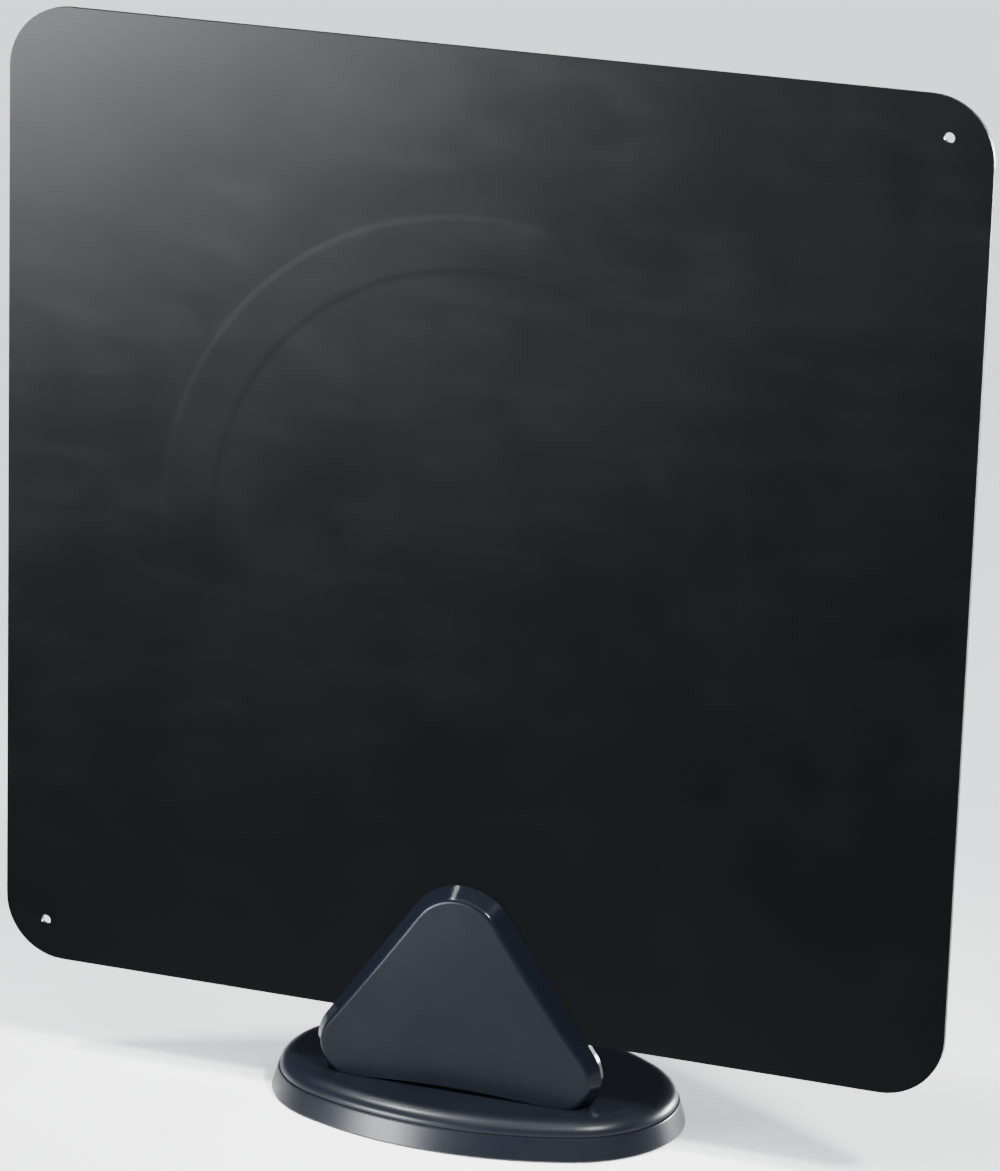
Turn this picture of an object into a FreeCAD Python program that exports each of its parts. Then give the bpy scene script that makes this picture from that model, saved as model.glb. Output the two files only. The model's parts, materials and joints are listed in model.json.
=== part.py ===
import FreeCAD, Part
import math
import os
import Sketcher

# A flat-panel indoor television antenna on a low weighted stand.
#
# Frame: millimetres, +Z up, +X to the right seen from the front, and the front faces -Y.  The origin is on
# the surface that the rubber feet stand on, at the middle of the base.
#
# Body "stand": the base, its ballast and the upright dock tongue.
# Body "head": the panel, the triangular housing that clamps it, and the signal parts inside.  The head
# lifts straight up off the tongue.

doc = FreeCAD.newDocument("flat_panel_antenna")
dims = doc.addObject("Spreadsheet::Sheet", "dims")

DRIVING_DIMENSIONS = {
    # Panel: two skins with the antenna film between them
    "panel_width": 303,
    "panel_height": 300,
    "panel_bottom": 32.2,
    "panel_front": -20,
    "panel_corner": 19.2,
    "skin_thickness": 0.8,
    "film_thickness": 0.3,
    "hang_hole_radius": 1.6,
    "hang_hole_side": 13.4,
    "hang_hole_end": 12.1,
    # Loop: one turn of foil about the panel's middle, with two legs down to the feed pads
    "loop_outer": 100,
    "loop_inner": 84,
    "leg_inside": 3,
    "leg_width": 7,
    "leg_foot": 44,
    "window_height": 16,
    # Housing: rounded triangles drawn from the centres of their three corner arcs
    "apex_height": 58.5,
    "corner_out": 32.8,
    "corner_height": 21.4,
    "face_apex_radius": 14.7,
    "face_corner_radius": 9.7,
    "front_depth": 6.15,
    "front_flare": 3.46,
    "face_crown_radius": 700,
    "face_edge_radius": 1.8,
    "rear_inset": 4,
    "rear_depth": 12,
    "rear_taper": 15,
    "rear_edge_radius": 2,
    "cover_wall": 1.8,
    "foot_level": 12.2,
    "foot_wall": 2,
    "foot_arch_rise": 1.3,
    "foot_arch_half": 27.4,
    # Screws that hold the two covers together
    "apex_screw_height": 66,
    "low_screw_out": 30,
    "low_screw_height": 22,
    "boss_radius": 3.2,
    "pilot_radius": 1.15,
    "screw_radius": 1.3,
    "screw_head_radius": 2.5,
    "screw_head_height": 1.8,
    "seat_depth": 3,
    # Dock: the tongue on the base and the sleeve in the housing that slides over it
    "tongue_width": 36,
    "tongue_thickness": 5,
    "tongue_middle": -13,
    "tongue_top": 30,
    "tongue_lead": 1.2,
    "sleeve_gap": 0.05,
    "sleeve_wall": 1.95,
    "sleeve_top": 32.4,
    "flange_width": 50,
    "flange_depth": 16,
    "flange_screw_out": 21.5,
    # Circuit board
    "board_front": -15,
    "board_thickness": 1.6,
    "board_width": 24,
    "board_bottom": 35.5,
    "board_height": 25.5,
    "board_screw_out": 9,
    "board_screw_height": 38.6,
    # F-type coaxial jack, 3/8 inch thread
    "jack_height": 42.8,
    "jack_radius": 4.76,
    "jack_pitch_radius": 4.5,
    "jack_bore": 3.6,
    "jack_reach": 17.4,
    "jack_hex": 11,
    "jack_hex_depth": 2.5,
    "jack_chamfer": 0.4,
    "jack_contact_radius": 0.9,
    "washer_radius": 7,
    "washer_thickness": 0.6,
    "nut_thickness": 2.4,
    # Balun: a ferrite ring with one winding
    "balun_height": 55.3,
    "balun_mean_radius": 3.2,
    "balun_section": 2,
    "balun_depth": 2.6,
    "balun_lift": 2.2,
    "turn_radius": 1.95,
    "wire_radius": 0.22,
    "turn_count": 10,
    # Base: an oval of four arcs, drawn from its widest line
    "base_half_width": 65.6,
    "base_half_depth": 45.1,
    "widest_line": -1.9,
    "side_radius": 37,
    "tray_bottom": 0.6,
    "tray_top": 7.3,
    "tray_lean": 1.8,
    "tray_wall": 2,
    "cover_step": 2.3,
    "cover_bottom": 7.5,
    "cover_top": 12,
    "dome_reach": 5.5,
    "cover_thickness": 2.2,
    "rim_width": 16,
    "lip_height": 1,
    "lip_gap": 0.4,
    "ballast_width": 82,
    "ballast_depth": 54,
    "ballast_thickness": 3.2,
    "ballast_corner": 10,
    "foot_radius": 6,
    "foot_recess": 0.4,
    "foot_out": 41,
    "foot_fore": 23,
    "side_screw_out": 52,
    "back_screw_out": 20,
    "back_screw_back": 31.5,
}


def fill_sheet():
    """Write one row for each driving dimension: its name, and its value with an alias."""
    for row, (alias, value) in enumerate(DRIVING_DIMENSIONS.items(), start=1):
        dims.set("A%d" % row, alias)
        dims.set("B%d" % row, str(value))
        dims.setAlias("B%d" % row, alias)
    doc.recompute()


fill_sheet()


def value(expression):
    """The number that an expression of the sheet's aliases gives, such as "dims.panel_width / 2"."""
    return float(dims.evalExpression(expression))


def dim(alias):
    """The number in one cell of the sheet."""
    return float(dims.get(alias))


# ---------------------------------------------------------------------------------------------------
# Sketches and bodies
# ---------------------------------------------------------------------------------------------------

def new_body(label):
    body = doc.addObject("PartDesign::Body", label)
    body.Label = label
    return body


def origin_plane(body, role):
    return [feature for feature in body.Origin.OriginFeatures if feature.Role == role][0]


def new_sketch(body, name, plane, level="0"):
    """A sketch on one of the body's origin planes, moved along the plane's normal by `level`."""
    sketch = body.newObject("Sketcher::SketchObject", name)
    sketch.AttachmentSupport = [(origin_plane(body, plane), "")]
    sketch.MapMode = "FlatFace"
    sketch.setExpression("AttachmentOffset.Base.z", level)
    return sketch


def front_sketch(body, name, y_level):
    """A sketch seen from the front: X to the right, Z up, at the depth `y_level`; its normal is -Y."""
    return new_sketch(body, name, "XZ_Plane", "-(%s)" % y_level)


def constrain(sketch, kind, references, name, expression):
    """A dimension of the sketch, bound to the sheet."""
    index = sketch.addConstraint(Sketcher.Constraint(kind, *references, value(expression)))
    sketch.renameConstraint(index, name)
    sketch.setExpression("Constraints." + name, expression)


def place_point(sketch, geometry, point, name, across, up):
    """Hold a point of the sketch at (across, up) from the sketch's origin."""
    constrain(sketch, "DistanceX", (-1, 1, geometry, point), name + "_across", across)
    constrain(sketch, "DistanceY", (-1, 1, geometry, point), name + "_up", up)


def draw_polygon(sketch, name, corners):
    """Straight sides through the corners, each an (across, up) pair of expressions."""
    points = [FreeCAD.Vector(value(across), value(up), 0) for across, up in corners]
    first = sketch.GeometryCount
    count = len(points)
    for index in range(count):
        sketch.addGeometry(Part.LineSegment(points[index], points[(index + 1) % count]), False)
    for index in range(count):
        following = (index + 1) % count
        sketch.addConstraint(Sketcher.Constraint("Coincident", first + index, 2, first + following, 1))
    for index, (across, up) in enumerate(corners):
        place_point(sketch, first + index, 1, "%s%d" % (name, index), across, up)


def draw_rectangle(sketch, name, left, right, bottom, top):
    draw_polygon(sketch, name, [(left, bottom), (right, bottom), (right, top), (left, top)])


def draw_circle(sketch, name, radius, across="0", up="0"):
    centre = FreeCAD.Vector(value(across), value(up), 0)
    circle = sketch.addGeometry(Part.Circle(centre, FreeCAD.Vector(0, 0, 1), value(radius)), False)
    constrain(sketch, "Radius", (circle,), name + "_radius", radius)
    place_point(sketch, circle, 3, name, across, up)


def draw_hexagon(sketch, name, across_flats, up):
    """A hexagon with two flats upright, about (0, up)."""
    corners = []
    for index in range(6):
        turn = 30 + 60 * index
        reach = "(%s) / 2 / cos(30)" % across_flats
        corners.append(("%s * cos(%d)" % (reach, turn), "%s + %s * sin(%d)" % (up, reach, turn)))
    draw_polygon(sketch, name, corners)


def draw_housing_triangle(sketch, growth):
    """The housing's outline: three arcs joined by tangent lines.  `growth` is added to each arc's radius."""
    arcs = [
        ("apex", "0", "dims.apex_height", "dims.face_apex_radius"),
        ("left", "-dims.corner_out", "dims.corner_height", "dims.face_corner_radius"),
        ("right", "dims.corner_out", "dims.corner_height", "dims.face_corner_radius"),
    ]
    centres = [FreeCAD.Vector(value(across), value(up), 0) for _, across, up, _ in arcs]
    radii = [value("%s + %s" % (radius, growth)) for _, _, _, radius in arcs]
    normals = []
    for index in range(3):
        following = (index + 1) % 3
        run = centres[following] - centres[index]
        heading = math.atan2(run.y, run.x)
        lean = math.acos((radii[index] - radii[following]) / run.Length)
        normals.append(heading - lean)
    for index in range(3):
        circle = Part.Circle(centres[index], FreeCAD.Vector(0, 0, 1), radii[index])
        sketch.addGeometry(Part.ArcOfCircle(circle, normals[index - 1], normals[index]), False)
    for index in range(3):
        following = (index + 1) % 3
        outward = FreeCAD.Vector(math.cos(normals[index]), math.sin(normals[index]), 0)
        start = centres[index] + outward * radii[index]
        end = centres[following] + outward * radii[following]
        sketch.addGeometry(Part.LineSegment(start, end), False)
    for index in range(3):
        following = (index + 1) % 3
        sketch.addConstraint(Sketcher.Constraint("Tangent", index, 2, index + 3, 1))
        sketch.addConstraint(Sketcher.Constraint("Tangent", index + 3, 2, following, 1))
    for index, (name, across, up, radius) in enumerate(arcs):
        constrain(sketch, "Radius", (index,), name + "_radius", "%s + %s" % (radius, growth))
        place_point(sketch, index, 3, name, across, up)


def pad(body, name, sketch, length, reverse=False, taper=None):
    feature = body.newObject("PartDesign::Pad", name)
    feature.Profile = sketch
    feature.Reversed = reverse
    feature.setExpression("Length", length)
    if taper is not None:
        feature.setExpression("TaperAngle", taper)
    body.Tip = feature
    doc.recompute()
    return feature


def pocket(body, name, sketch, length, reverse=False):
    """Cut the sketch `length` deep.  A cut that takes nothing away is an error."""
    before = body.Shape.Volume
    feature = body.newObject("PartDesign::Pocket", name)
    feature.Profile = sketch
    feature.Reversed = reverse
    feature.setExpression("Length", length)
    body.Tip = feature
    doc.recompute()
    if body.Shape.Volume > before - 1e-6:
        raise ValueError("the pocket %s cuts nothing" % name)
    return feature


def edges_along(shape, direction, keep=lambda edge: True):
    """Names of the straight edges that run along `direction` and satisfy `keep`."""
    names = []
    for index, edge in enumerate(shape.Edges, start=1):
        if edge.Curve.TypeId != "Part::GeomLine":
            continue
        if abs(abs(edge.Curve.Direction.dot(direction)) - 1) < 1e-6 and keep(edge):
            names.append("Edge%d" % index)
    return names


def fillet_body(body, name, edges, radius):
    base = body.Tip
    feature = body.newObject("PartDesign::Fillet", name)
    feature.Base = (base, edges)
    feature.setExpression("Radius", radius)
    body.Tip = feature
    doc.recompute()
    return feature


def revolve_profile(label, corners):
    """A body turned about the Z axis from a closed profile of (radius, height) expressions."""
    body = new_body(label)
    sketch = new_sketch(body, label + "_profile", "XZ_Plane")
    draw_polygon(sketch, "p", corners)
    feature = body.newObject("PartDesign::Revolution", label + "_turn")
    feature.Profile = sketch
    feature.ReferenceAxis = (sketch, ["V_Axis"])
    feature.Angle = 360
    body.Tip = feature
    doc.recompute()
    return body


# ---------------------------------------------------------------------------------------------------
# Primitives and booleans
# ---------------------------------------------------------------------------------------------------

def box(name, west, east, front, back, bottom, top):
    """A block between two X, two Y and two Z levels, each an expression."""
    block = doc.addObject("Part::Box", name)
    block.setExpression("Length", "(%s) - (%s)" % (east, west))
    block.setExpression("Width", "(%s) - (%s)" % (back, front))
    block.setExpression("Height", "(%s) - (%s)" % (top, bottom))
    block.setExpression("Placement.Base.x", west)
    block.setExpression("Placement.Base.y", front)
    block.setExpression("Placement.Base.z", bottom)
    return block


def upright_cylinder(name, radius, across, along, bottom, top):
    """A cylinder with its axis along Z."""
    cylinder = doc.addObject("Part::Cylinder", name)
    cylinder.setExpression("Radius", radius)
    cylinder.setExpression("Height", "(%s) - (%s)" % (top, bottom))
    cylinder.setExpression("Placement.Base.x", across)
    cylinder.setExpression("Placement.Base.y", along)
    cylinder.setExpression("Placement.Base.z", bottom)
    return cylinder


def level_cylinder(name, radius, across, up, front, back):
    """A cylinder with its axis along Y."""
    cylinder = doc.addObject("Part::Cylinder", name)
    cylinder.Placement = FreeCAD.Placement(FreeCAD.Vector(), FreeCAD.Rotation(FreeCAD.Vector(1, 0, 0), -90))
    cylinder.setExpression("Radius", radius)
    cylinder.setExpression("Height", "(%s) - (%s)" % (back, front))
    cylinder.setExpression("Placement.Base.x", across)
    cylinder.setExpression("Placement.Base.y", front)
    cylinder.setExpression("Placement.Base.z", up)
    return cylinder


def fuse(label, pieces):
    union = doc.addObject("Part::MultiFuse", label)
    union.Shapes = pieces
    union.Label = label
    doc.recompute()
    return union


def cut(label, base, tool):
    """Base less tool.  A cut that takes nothing away is an error."""
    result = doc.addObject("Part::Cut", label)
    result.Base = base
    result.Tool = tool
    result.Label = label
    doc.recompute()
    if result.Shape.Volume > base.Shape.Volume - 1e-6:
        raise ValueError("the cut %s takes nothing away" % label)
    return result


def group(label, pieces):
    """Identical separate solids kept as one node."""
    compound = doc.addObject("Part::Compound", label)
    compound.Links = pieces
    compound.Label = label
    doc.recompute()
    return compound


def fixed_shape(label, shape):
    """A piece whose shape is made from the sheet's values with Part's own functions."""
    feature = doc.addObject("Part::Feature", label)
    feature.Shape = shape
    feature.Label = label
    feature.Placement = FreeCAD.Placement()
    return feature


def fillet_edges(label, base, radius_alias, keep):
    """Round each edge of `base` for which `keep` is true."""
    feature = doc.addObject("Part::Fillet", label)
    feature.Base = base
    radius = dim(radius_alias)
    feature.Edges = [(i, radius, radius) for i, edge in enumerate(base.Shape.Edges, start=1) if keep(edge)]
    doc.recompute()
    return feature


# ---------------------------------------------------------------------------------------------------
# Panel
# ---------------------------------------------------------------------------------------------------

PANEL_BACK = "dims.panel_front + 2 * dims.skin_thickness + dims.film_thickness"
PANEL_MIDDLE = "dims.panel_bottom + dims.panel_height / 2"
PANEL_TOP = "dims.panel_bottom + dims.panel_height"
LEG_OUTSIDE = "dims.leg_inside + dims.leg_width"


def panel_sheet(label, back_level, thickness):
    """One full layer of the panel, with rounded corners, hanging holes and the hole for the apex screw."""
    body = new_body(label)
    outline = front_sketch(body, label + "_outline", back_level)
    draw_rectangle(outline, "side", "-dims.panel_width / 2", "dims.panel_width / 2",
                   "dims.panel_bottom", PANEL_TOP)
    pad(body, label + "_pad", outline, thickness)
    corners = edges_along(body.Shape, FreeCAD.Vector(0, 1, 0))
    fillet_body(body, label + "_corners", corners, "dims.panel_corner")
    holes = front_sketch(body, label + "_holes", back_level)
    draw_circle(holes, "upper", "dims.hang_hole_radius",
                "dims.panel_width / 2 - dims.hang_hole_side", PANEL_TOP + " - dims.hang_hole_end")
    draw_circle(holes, "lower", "dims.hang_hole_radius",
                "dims.hang_hole_side - dims.panel_width / 2", "dims.panel_bottom + dims.hang_hole_end")
    draw_circle(holes, "screw", "dims.screw_radius + 0.1", "0", "dims.apex_screw_height")
    pocket(body, label + "_bores", holes, thickness, reverse=True)
    return body


def panel_front_skin():
    return panel_sheet("panel_front_skin", "dims.panel_front + dims.skin_thickness", "dims.skin_thickness")


def panel_rear_skin():
    """The back layer has a window behind each feed pad, where the contact springs reach the foil."""
    body = panel_sheet("panel_rear_skin", PANEL_BACK, "dims.skin_thickness")
    windows = front_sketch(body, "contact_windows", PANEL_BACK)
    for name, sign in (("left", "-"), ("right", "")):
        edges = [sign + "(dims.leg_inside + 1)", sign + "(%s - 1)" % LEG_OUTSIDE]
        west, east = sorted(edges, key=value)
        draw_rectangle(windows, name, west, east, "dims.leg_foot + 1", "dims.leg_foot + dims.window_height")
    pocket(body, "contact_window_cut", windows, "dims.skin_thickness", reverse=True)
    return body


def loop_foil(label, gap, thickness):
    """The loop with its two legs.  `gap` widens it all round, for the space that it lies in."""
    back = "dims.panel_front + dims.skin_thickness + dims.film_thickness"
    front = "dims.panel_front + dims.skin_thickness"
    outer = level_cylinder(label + "_outer", "dims.loop_outer + %s" % gap, "0", PANEL_MIDDLE, front, back)
    inner = level_cylinder(label + "_inner", "dims.loop_inner - %s" % gap, "0", PANEL_MIDDLE, front, back)
    ring = cut(label + "_ring", outer, inner)
    feed_gap = box(label + "_feed_gap", "%s - dims.leg_inside" % gap, "dims.leg_inside - %s" % gap,
                   front, back, "dims.leg_foot", PANEL_MIDDLE)
    open_ring = cut(label + "_open_ring", ring, feed_gap)
    legs = []
    leg_top = "%s - dims.loop_inner - 4" % PANEL_MIDDLE
    for name, sign in (("left", "-"), ("right", "")):
        edges = [sign + "(dims.leg_inside - %s)" % gap, sign + "(%s + %s)" % (LEG_OUTSIDE, gap)]
        west, east = sorted(edges, key=value)
        legs.append(box("%s_%s_leg" % (label, name), west, east, front, back,
                        "dims.leg_foot - %s" % gap, leg_top))
    return fuse(label, [open_ring] + legs)


def panel_spacer_film():
    """The middle layer, cut out where the foil lies."""
    sheet = panel_sheet("spacer_sheet", "dims.panel_front + dims.skin_thickness + dims.film_thickness",
                        "dims.film_thickness")
    return cut("panel_spacer_film", sheet, loop_foil("foil_space", "0.2", "dims.film_thickness"))


# ---------------------------------------------------------------------------------------------------
# Housing
# ---------------------------------------------------------------------------------------------------

FACE_LEVEL = "dims.panel_front - dims.front_depth"
REAR_BACK = PANEL_BACK + " + dims.rear_depth"
FRONT_TAPER = "-atan(dims.front_flare / dims.front_depth)"
COVER_SCREWS = [
    ("apex", "0", "dims.apex_screw_height"),
    ("left", "-dims.low_screw_out", "dims.low_screw_height"),
    ("right", "dims.low_screw_out", "dims.low_screw_height"),
]


def foot_cutter(name):
    """Everything below the housing's foot, whose middle arches up a little."""
    body = new_body(name)
    sketch = front_sketch(body, name + "_profile", "0")
    reach = "dims.base_half_width"
    corners = [("-" + reach, "-10"), (reach, "-10"), (reach, "dims.foot_level"),
               ("dims.foot_arch_half", "dims.foot_level"), ("-dims.foot_arch_half", "dims.foot_level"),
               ("-" + reach, "dims.foot_level")]
    points = [FreeCAD.Vector(value(across), value(up), 0) for across, up in corners]
    crest = FreeCAD.Vector(0, value("dims.foot_level + dims.foot_arch_rise"), 0)
    for index in range(len(points)):
        following = points[(index + 1) % len(points)]
        if index == 3:
            sketch.addGeometry(Part.Arc(points[index], crest, following), False)
        else:
            sketch.addGeometry(Part.LineSegment(points[index], following), False)
    for index in range(len(points)):
        following = (index + 1) % len(points)
        sketch.addConstraint(Sketcher.Constraint("Coincident", index, 2, following, 1))
    for index, (across, up) in enumerate(corners):
        place_point(sketch, index, 1, "p%d" % index, across, up)
    arch = "(dims.foot_arch_half^2 + dims.foot_arch_rise^2) / 2 / dims.foot_arch_rise"
    constrain(sketch, "Radius", (3,), "arch", arch)
    feature = pad(body, name + "_pad", sketch, "80")
    feature.Midplane = True
    doc.recompute()
    return body


def triangle_block(label, level, growth, length, reverse, taper):
    body = new_body(label)
    outline = front_sketch(body, label + "_outline", level)
    draw_housing_triangle(outline, growth)
    pad(body, label + "_pad", outline, length, reverse, taper)
    return body


def crowned_face_block():
    """The front cover's outside: a flared triangle whose face is part of a very large sphere."""
    block = triangle_block("front_block", "dims.panel_front", "dims.front_flare", "dims.front_depth",
                           False, FRONT_TAPER)
    sphere = doc.addObject("Part::Sphere", "face_crown")
    sphere.setExpression("Radius", "dims.face_crown_radius")
    sphere.setExpression("Placement.Base.y", FACE_LEVEL + " + dims.face_crown_radius")
    sphere.setExpression("Placement.Base.z", "(dims.apex_height + dims.corner_height) / 2")
    crowned = doc.addObject("Part::Common", "crowned_block")
    crowned.Base = block
    crowned.Tool = sphere
    doc.recompute()
    side_depth = value(FACE_LEVEL) + 2.0
    return fillet_edges("front_outside", crowned, "face_edge_radius",
                        lambda edge: edge.BoundBox.YMax < side_depth)


def below_panel_rim():
    """The front cover's rim goes on past the panel's thickness below the panel's lower edge."""
    body = triangle_block("rim_block", PANEL_BACK, "dims.front_flare",
                          "2 * dims.skin_thickness + dims.film_thickness", False, None)
    upper = front_sketch(body, "rim_upper", PANEL_BACK)
    draw_rectangle(upper, "side", "-dims.panel_width / 2", "dims.panel_width / 2",
                   "dims.panel_bottom - 0.1", PANEL_TOP)
    pocket(body, "rim_upper_cut", upper, "2 * dims.skin_thickness + dims.film_thickness", reverse=True)
    return body


def housing_front_cover():
    outside = fuse("front_solid", [crowned_face_block(), below_panel_rim()])
    cavity_depth = "dims.front_depth - dims.cover_wall"
    cavity = triangle_block("front_cavity", "dims.panel_front", "dims.front_flare - dims.cover_wall",
                            cavity_depth, False, FRONT_TAPER)
    rim_space = triangle_block("rim_cavity", PANEL_BACK, "dims.front_flare - dims.cover_wall",
                               "2 * dims.skin_thickness + dims.film_thickness", False, None)
    floor = box("front_floor", "-dims.base_half_width", "dims.base_half_width", "-40", "0",
                "0", "dims.foot_level + dims.foot_arch_rise + dims.foot_wall")
    hollow = cut("front_hollow", fuse("front_hollows", [cavity, rim_space]), floor)
    bosses = []
    pilots = []
    for name, across, up in COVER_SCREWS:
        boss_end = "dims.panel_front" if name == "apex" else PANEL_BACK
        bosses.append(level_cylinder("front_boss_" + name, "dims.boss_radius", across, up,
                                     FACE_LEVEL, boss_end))
        pilots.append(level_cylinder("front_pilot_" + name, "dims.pilot_radius", across, up,
                                     FACE_LEVEL + " + 1.9", "0"))
    hollow_round_bosses = cut("front_hollow_round_bosses", hollow, fuse("front_bosses", bosses))
    tools = fuse("front_tools", [hollow_round_bosses, foot_cutter("front_foot")] + pilots)
    return cut("housing_front_cover", outside, tools)


def housing_rear_cover():
    growth = "dims.front_flare - dims.rear_inset"
    block = triangle_block("rear_block", PANEL_BACK, growth, "dims.rear_depth", True, "-dims.rear_taper")
    back = value(REAR_BACK)
    outside = fillet_edges("rear_outside", block, "rear_edge_radius",
                           lambda edge: edge.BoundBox.YMin > back - 1e-3)
    cavity = triangle_block("rear_cavity", PANEL_BACK, growth + " - dims.cover_wall",
                            "dims.rear_depth - dims.cover_wall", True, "-dims.rear_taper")
    floor = box("rear_floor", "-dims.base_half_width", "dims.base_half_width", "-40", "0",
                "0", "dims.foot_level + dims.foot_arch_rise + dims.foot_wall")
    hollow = cut("rear_hollow", cavity, floor)
    bosses = []
    bores = []
    for name, across, up in COVER_SCREWS:
        bosses.append(level_cylinder("rear_boss_" + name, "dims.boss_radius + 0.8", across, up,
                                     PANEL_BACK, REAR_BACK))
        bores.append(level_cylinder("rear_bore_" + name, "dims.screw_radius + 0.1", across, up, "-40", "0"))
        bores.append(level_cylinder("rear_seat_" + name, "dims.screw_head_radius + 0.2", across, up,
                                    REAR_BACK + " - dims.seat_depth", "0"))
    board_back = "dims.board_front + dims.board_thickness"
    for name, sign in (("left", "-"), ("right", "")):
        across = sign + "dims.board_screw_out"
        bosses.append(level_cylinder("board_post_" + name, "2.4", across, "dims.board_screw_height",
                                     board_back, REAR_BACK))
        bores.append(level_cylinder("board_pilot_" + name, "0.85", across, "dims.board_screw_height",
                                    board_back, REAR_BACK + " - 1.4"))
    hollow_round_bosses = cut("rear_hollow_round_bosses", hollow, fuse("rear_bosses", bosses))
    jack_hole = level_cylinder("jack_hole", "dims.jack_radius + 0.15", "0", "dims.jack_height", "-10", "0")
    half_sleeve = "(dims.tongue_width / 2 + dims.sleeve_gap + dims.sleeve_wall)"
    sleeve_hole = box("sleeve_hole", "-%s - 0.1" % half_sleeve, "%s + 0.1" % half_sleeve,
                      SLEEVE_FRONT + " - 0.1", SLEEVE_BACK + " + 0.1", "0", "20")
    tools = fuse("rear_tools", [hollow_round_bosses, foot_cutter("rear_foot"), jack_hole, sleeve_hole] + bores)
    return cut("housing_rear_cover", outside, tools)


def pan_head_screw(name, radius, head_radius, head_height, across, up, seat, tip):
    """A screw along Y with its head at the back.  `seat` is the plane under its head, `tip` its front end."""
    shank = level_cylinder(name + "_shank", radius, across, up, tip, seat)
    head = level_cylinder(name + "_head", head_radius, across, up, seat, "%s + %s" % (seat, head_height))
    slot = box(name + "_slot", across + " - 0.3", across + " + 0.3", "%s + %s - 0.7" % (seat, head_height),
               "%s + %s + 1" % (seat, head_height), "%s - 1.5" % up, "%s + 1.5" % up)
    cross = box(name + "_cross", across + " - 1.5", across + " + 1.5",
                "%s + %s - 0.7" % (seat, head_height), "%s + %s + 1" % (seat, head_height),
                "%s - 0.3" % up, "%s + 0.3" % up)
    return cut(name, fuse(name + "_solid", [shank, head]), fuse(name + "_recess", [slot, cross]))


def cover_screws():
    seat = REAR_BACK + " - dims.seat_depth"
    screws = []
    for name, across, up in COVER_SCREWS:
        screws.append(pan_head_screw("cover_screw_" + name, "dims.pilot_radius", "dims.screw_head_radius",
                                     "dims.screw_head_height", across, up, seat, FACE_LEVEL + " + 2.2"))
    return group("cover_screws", screws)


# ---------------------------------------------------------------------------------------------------
# Dock
# ---------------------------------------------------------------------------------------------------

HALF_GAP = "(dims.tongue_thickness / 2 + dims.sleeve_gap)"
SLEEVE_FRONT = "dims.tongue_middle - %s - dims.sleeve_wall" % HALF_GAP
SLEEVE_BACK = "dims.tongue_middle + %s + dims.sleeve_wall" % HALF_GAP


def dock_sleeve():
    """A blind rectangular socket, open below, that stands on the base's flat top."""
    half_width = "(dims.tongue_width / 2 + dims.sleeve_gap)"
    outside = box("sleeve_outside", "-%s - dims.sleeve_wall" % half_width,
                  "%s + dims.sleeve_wall" % half_width, SLEEVE_FRONT, SLEEVE_BACK,
                  "dims.cover_top", "dims.sleeve_top")
    inside = box("sleeve_inside", "-" + half_width, half_width, "dims.tongue_middle - " + HALF_GAP,
                 "dims.tongue_middle + " + HALF_GAP, "dims.cover_top - 1", "dims.tongue_top + 0.4")
    return cut("dock_sleeve", outside, inside)


FLANGE_BOTTOM = "dims.tray_bottom + dims.tray_wall + dims.ballast_thickness"
FLANGE_TOP = "dims.cover_top - dims.cover_thickness"


def dock_tongue():
    """The upright blade with a chamfered top, and the flange under the base's cover that carries it."""
    body = new_body("dock_tongue")
    flange = new_sketch(body, "flange_outline", "XY_Plane", FLANGE_BOTTOM)
    draw_rectangle(flange, "flange", "-dims.flange_width / 2", "dims.flange_width / 2",
                   "dims.tongue_middle - dims.flange_depth / 2", "dims.tongue_middle + dims.flange_depth / 2")
    pad(body, "flange_pad", flange, "(%s) - (%s)" % (FLANGE_TOP, FLANGE_BOTTOM))
    blade = new_sketch(body, "blade_outline", "XY_Plane", FLANGE_TOP)
    draw_rectangle(blade, "blade", "-dims.tongue_width / 2", "dims.tongue_width / 2",
                   "dims.tongue_middle - dims.tongue_thickness / 2",
                   "dims.tongue_middle + dims.tongue_thickness / 2")
    pad(body, "blade_pad", blade, "dims.tongue_top - (%s)" % FLANGE_TOP)
    top = dim("tongue_top")
    rim = [name for direction in (FreeCAD.Vector(1, 0, 0), FreeCAD.Vector(0, 1, 0))
           for name in edges_along(body.Shape, direction, lambda edge: edge.BoundBox.ZMin > top - 1e-3)]
    blade_end = body.Tip
    lead = body.newObject("PartDesign::Chamfer", "blade_lead")
    lead.Base = (blade_end, rim)
    lead.setExpression("Size", "dims.tongue_lead")
    body.Tip = lead
    doc.recompute()
    pilots = new_sketch(body, "flange_pilots", "XY_Plane", FLANGE_BOTTOM)
    for name, sign in (("left", "-"), ("right", "")):
        draw_circle(pilots, name, "dims.pilot_radius", sign + "dims.flange_screw_out", "dims.tongue_middle")
    pocket(body, "flange_pilot_cut", pilots, "3.2", reverse=True)
    return body


# ---------------------------------------------------------------------------------------------------
# Circuit board and what is on it
# ---------------------------------------------------------------------------------------------------

BOARD_BACK = "dims.board_front + dims.board_thickness"
BOARD_TOP = "dims.board_bottom + dims.board_height"


def circuit_board():
    body = new_body("circuit_board")
    outline = front_sketch(body, "board_outline", BOARD_BACK)
    draw_rectangle(outline, "side", "-dims.board_width / 2", "dims.board_width / 2",
                   "dims.board_bottom", BOARD_TOP)
    pad(body, "board_pad", outline, "dims.board_thickness")
    holes = front_sketch(body, "board_holes", BOARD_BACK)
    draw_circle(holes, "pin", "dims.jack_contact_radius + 0.1", "0", "dims.jack_height")
    for name, sign in (("left", "-"), ("right", "")):
        draw_circle(holes, name, "1.1", sign + "dims.board_screw_out", "dims.board_screw_height")
    pocket(body, "board_bores", holes, "dims.board_thickness", reverse=True)
    return body


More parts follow.
